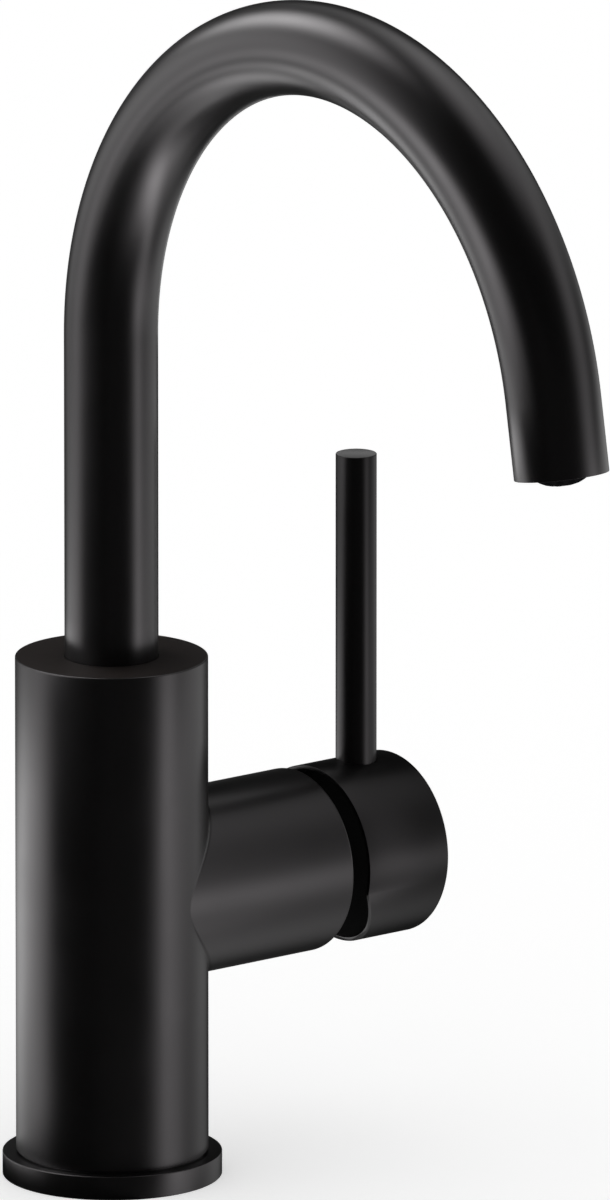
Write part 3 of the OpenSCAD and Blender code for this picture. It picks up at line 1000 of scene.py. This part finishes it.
class FAUCET_OT_handle(bpy.types.Operator):
    """Model the handle hub, with the set screw's hole, and the lever rod"""

    bl_idname = "faucet.handle"
    bl_label = "Handle"

    def execute(self, context):
        s = sizes()
        axis = (0, 0, s.handle_height)
        bore = s.hub_radius - s.hub_wall
        hub_floor = 67.5 * MM
        ease = 0.6 * MM
        outline = [
            (bore, hub_floor), (bore, s.hub_start), (s.hub_radius, s.hub_start),
            *corner(s.hub_radius - ease, s.hub_end - ease, ease, 0, 5),
        ]
        hub = turned("handle_hub_turned", outline, "X", axis, 192)
        self.cut_relief(s, hub)
        ease_edges(hub, 0.15 * MM, 2, 35)
        rod_x = (ROD_LOW.x + ROD_HIGH.x) / 2
        rod_r = (ROD_HIGH.x - ROD_LOW.x) / 2
        seat, gap, outside = s.handle_height + 17 * MM, 0.12 * MM, 30 * MM
        screw_r, screw_x, screw_end = 2.6 * MM, 71 * MM, s.handle_height - 10 * MM
        cut_away(hub, [
            pin(rod_r + gap, seat, s.handle_height + outside, rod_x, steps=96),
            pin(screw_r, s.handle_height - outside, screw_end, screw_x),
        ])
        finish_of(hub, "black_finish", "lever", "handle_hub", look="handle_finish")
        self.paint_light_inside(hub, s.handle_height, bore, hub_floor)

        foot_r, rod_ease = 4 * MM, 0.15 * MM
        outline = [
            (foot_r, ROD_LOW.z), (foot_r, seat), (rod_r, seat),
            *corner(rod_r - rod_ease, ROD_HIGH.z - rod_ease, rod_ease, 0, 4),
        ]
        rod = turned("lever_rod_turned", outline, centre=(rod_x, 0, 0), steps=96)
        finish_of(rod, "black_finish", "lever", "handle_rod", look="handle_finish")
        return {"FINISHED"}

    def paint_light_inside(self, hub, height, bore, hub_floor):
        """Gives the hub's bore and floor their dull coat and its painted light, up to the relief's
        sloped rim.
        """
        def inside(face):
            out = math.hypot(face.center.y, face.center.z - height)
            sloped = 0.1 < abs(face.normal.x) < 0.99
            return out < bore and face.center.x < hub_floor + 0.1 * MM and not sloped
        coat_faces(hub, "hub_inside_painted_light", inside)

    def cut_relief(self, s, hub):
        """Slopes the hub's rim away below the axis, so that the lever can tip."""
        slope = math.radians(26)
        drop = 5.3 * MM
        edit_all(hub)
        bpy.ops.mesh.bisect(
            plane_co=(s.hub_start, 0, s.handle_height - drop),
            plane_no=(math.cos(slope), 0, math.sin(slope)),
            use_fill=True, clear_inner=True, clear_outer=False,
        )
        close_up(False)


class FAUCET_OT_bonnet(bpy.types.Operator):
    """Turn the dark bonnet that closes the housing's mouth"""

    bl_idname = "faucet.bonnet"
    bl_label = "Bonnet"

    def execute(self, context):
        s = sizes()
        dome, inner, opening = 21 * MM, 19.6 * MM, 14 * MM
        rim, foot, pivot = 18.7 * MM, 17.4 * MM, 45 * MM
        start = 48 * MM

        def arc(radius, first, last, steps=16):
            a0, a1 = math.acos(first / radius), math.acos(last / radius)
            turns = [a0 + (a1 - a0) * i / steps for i in range(steps + 1)]
            return [(radius * math.cos(a), pivot + radius * math.sin(a)) for a in turns]

        outline = [
            (foot, start), (rim, start), *arc(dome, rim, opening), *arc(inner, opening, foot),
            (foot, start),
        ]
        cap = turned("bonnet_moulded", outline, "X", (0, 0, s.handle_height), 160)
        ease_edges(cap, 0.15 * MM)
        finish_of(cap, "graphite_plastic", "faucet", "bonnet_cap")
        return {"FINISHED"}


def threaded_rod(name, radius, depth, pitch, low, high, centre=(0, 0, 0), steps=48):
    """A threaded rod: one flank of thread wound up as a screw, then trimmed flat at both ends."""
    pick_none()
    turns = math.ceil((high - low) / pitch) + 3
    start = low - 1.5 * pitch
    bpy.ops.mesh.primitive_plane_add(size=pitch)
    rod = name_it(name)
    edit_all(rod)
    bpy.ops.mesh.delete(type="ONLY_FACE")
    places = [(radius - depth, 0), (radius, 0.4), (radius, 0.6), (radius - depth, 1)]
    with edit_mesh() as mesh:
        mesh.verts.ensure_lookup_table()
        for vertex, (out, up) in zip(mesh.verts, places):
            vertex.co = (out, 0, start + up * pitch)
        for edge in list(mesh.edges):
            mesh.edges.remove(edge)
        for first, second in zip(list(mesh.verts), list(mesh.verts)[1:]):
            mesh.edges.new((first, second))
    bpy.ops.object.mode_set(mode="OBJECT")
    modify(
        rod, "SCREW", axis="Z", angle=2 * math.pi, screw_offset=pitch, iterations=turns,
        steps=steps, render_steps=steps, use_merge_vertices=True,
    )
    edit_all(rod)
    merge_all()
    for level, keep_up in ((low, True), (high, False)):
        bpy.ops.mesh.select_all(action="SELECT")
        bpy.ops.mesh.bisect(
            plane_co=(0, 0, level), plane_no=(0, 0, 1),
            clear_inner=keep_up, clear_outer=not keep_up,
        )
    bpy.ops.object.mode_set(mode="OBJECT")
    rod.location = centre
    return flatten(rod)


class FAUCET_OT_shank(bpy.types.Operator):
    """Model the threaded shank and what clamps it under the deck"""

    bl_idname = "faucet.shank"
    bl_label = "Shank and deck hardware"

    SCREW_PLACE = 21 * MM   # of the clamp screws, from the axis

    def execute(self, context):
        self.shank()
        self.rings()
        self.nut()
        self.screws()
        return {"FINISHED"}

    def shank(self):
        """The hollow shank, threaded up to the base ring."""
        radius, bore, depth, pitch = SHANK_HIGH.x, 12.5 * MM, 0.9 * MM, 2 * MM
        root, chamfered, collar = radius - depth, radius - 1.2 * MM, 1.5 * MM
        thread_start, thread_end = SHANK_LOW.z + 0.5 * MM, -1.5 * MM
        rod = threaded_rod("shank_threaded", radius, depth, pitch, thread_start, thread_end, steps=96)
        edit_all(rod)
        for level, outline in (
            (thread_end, [(root, thread_end + 0.4 * MM), (root, collar), (radius, collar + 0.5 * MM),
                          (radius, SHANK_HIGH.z), (bore, SHANK_HIGH.z)]),
            (thread_start, [(chamfered, SHANK_LOW.z), (bore, SHANK_LOW.z)]),
        ):
            pick_loose_rings(lambda co, at=level: abs(co.z - at) < 1e-6)
            first_r, first_z = outline[0]
            bpy.ops.mesh.extrude_region_move()
            edit_vertices(lambda co, r=first_r, z=first_z: Vector((
                co.x * r / math.hypot(co.x, co.y), co.y * r / math.hypot(co.x, co.y), z)))
            grow_ring("Z", (0, 0, 0), outline)
        pick_loose_rings(lambda co: abs(math.hypot(co.x, co.y) - bore) < 1e-5)
        bpy.ops.mesh.bridge_edge_loops()
        close_up(False)
        finish_of(rod, "brass", "faucet", "shank")

    def rings(self):
        """The rubber gasket and the steel washer under the deck."""
        bore = SHANK_HIGH.x + 0.3 * MM
        for name, low, high, slot_name, node in (
            ("deck_gasket_moulded", GASKET_LOW, GASKET_HIGH, "black_rubber", "deck_gasket"),
            ("deck_washer_stamped", WASHER_LOW, WASHER_HIGH, "stainless", "deck_washer"),
        ):
            outline = [
                (bore, low.z), (high.x, low.z), (high.x, high.z), (bore, high.z), (bore, low.z)
            ]
            ring = turned(name, outline, steps=160)
            ease_edges(ring, 0.35 * MM, 3)
            finish_of(ring, slot_name, "faucet", node)

    def nut(self):
        """The round nut with six finger scallops and two screw holes."""
        bore, radius, ease = SHANK_HIGH.x + 0.05 * MM, 25.5 * MM, 0.5 * MM
        scallop, scallop_place, hole = 3 * MM, 27 * MM, 2.05 * MM
        low, high = NUT_LOW.z, NUT_HIGH.z
        outline = [
            (bore, low), (radius - ease, low), *corner(radius - ease, low + ease, ease, -90)[1:],
            *corner(radius - ease, high - ease, ease, 0), (bore, high), (bore, low),
        ]
        nut = turned("mounting_nut_turned", outline, steps=160)
        low_end, high_end = low - MM, high + MM
        cutters = [
            *[pin(scallop, low_end, high_end, x, y, 40) for x, y in places_round(6, 30, scallop_place)],
            *[pin(hole, low_end, high_end, side * self.SCREW_PLACE, 0, 32) for side in (-1, 1)],
        ]
        cut_away(nut, [join(cutters, "nut_cutters")])
        finish_of(nut, "brass", "faucet", "mounting_nut")

    def screws(self):
        """The two clamp screws, modelled once and copied."""
        head_h, head_r = 3 * MM, 4 * MM
        radius, depth, pitch = 2 * MM, 0.38 * MM, 0.7 * MM
        low = SCREWS_LOW.z
        shaft_low, high = low + head_h - 0.3 * MM, SCREWS_HIGH.z
        rod = threaded_rod("clamp_screw_a", radius, depth, pitch, shaft_low, high, steps=24)
        edit_all(rod)
        close_up()
        pick_none()
        bpy.ops.mesh.primitive_cylinder_add(
            vertices=6, radius=head_r, depth=head_h, location=(0, 0, low + head_h / 2))
        head = flatten(name_it("clamp_head"))
        crown = turned("head_crown", [
            (2.6 * MM, low - 0.01 * MM), (4.3 * MM, low + 1.0 * MM), (4.3 * MM, low + 5 * MM)
        ], steps=64)
        cut_away(head, [crown], "INTERSECT")
        socket, socket_depth = 1.6 * MM, 1.6 * MM
        cut_away(head, [pin(socket, low - MM, low + socket_depth, steps=6)])
        first = join([rod, head], "clamp_screws_made")
        first.location = (self.SCREW_PLACE, 0, 0)
        flatten(first)
        bpy.ops.object.duplicate(linked=False)
        second = name_it("clamp_screw_b")
        bpy.ops.transform.rotate(value=math.pi, orient_axis="Z", center_override=(0, 0, 0))
        flatten(second)
        both = join([first, second], "clamp_screws_made")
        finish_of(both, "stainless", "faucet", "clamp_screws")


class FAUCET_OT_inner_parts(bpy.types.Operator):
    """Give the cartridge and the other inner pieces their finishes"""

    bl_idname = "faucet.inner_parts"
    bl_label = "Inner pieces"

    def execute(self, context):
        for subpart in frame["record"]["subparts"]:
            node = frame["nodes"][subpart["node"]]
            look = material(subpart["material_slot"])
            looks = node.data.materials
            if not looks:
                looks.append(look)
            for i in range(len(looks)):
                looks[i] = look
        return {"FINISHED"}


class FAUCET_PT_pieces(bpy.types.Panel):
    """The faucet's pieces, sizes and colours"""

    bl_idname = "FAUCET_PT_pieces"
    bl_label = "Bar faucet"
    bl_space_type = "VIEW_3D"
    bl_region_type = "UI"
    bl_category = "Faucet"

    def draw(self, context):
        column = self.layout.column()
        for operator in OPERATORS:
            column.operator(operator.bl_idname)
        for name in GROUPS:
            group = getattr(context.scene, name)
            box = self.layout.box()
            for value in group.__annotations__:
                box.prop(group, value)


OPERATORS = (
    FAUCET_OT_stage,
    FAUCET_OT_inner_parts,
    FAUCET_OT_base_ring,
    FAUCET_OT_body,
    FAUCET_OT_bonnet,
    FAUCET_OT_spout,
    FAUCET_OT_outlet,
    FAUCET_OT_handle,
    FAUCET_OT_shank,
)
GROUPS = {
    "faucet_sizes": FaucetSizes, "faucet_finish": FaucetFinish, "faucet_stage": FaucetStage,
}
CLASSES = (*GROUPS.values(), *OPERATORS, FAUCET_PT_pieces)


def register():
    for each in CLASSES:
        bpy.utils.register_class(each)
    for name, group in GROUPS.items():
        setattr(bpy.types.Scene, name, bpy.props.PointerProperty(type=group))


def unregister():
    for name in GROUPS:
        delattr(bpy.types.Scene, name)
    for each in reversed(CLASSES):
        bpy.utils.unregister_class(each)


def main():
    """Registers the add-on and makes every piece in order."""
    register()
    for operator in OPERATORS:
        group, call = operator.bl_idname.split(".")
        result = getattr(getattr(bpy.ops, group), call)()
        if "FINISHED" not in result:
            raise RuntimeError(operator.bl_label + " did not finish")


if __name__ == "__main__":
    main()
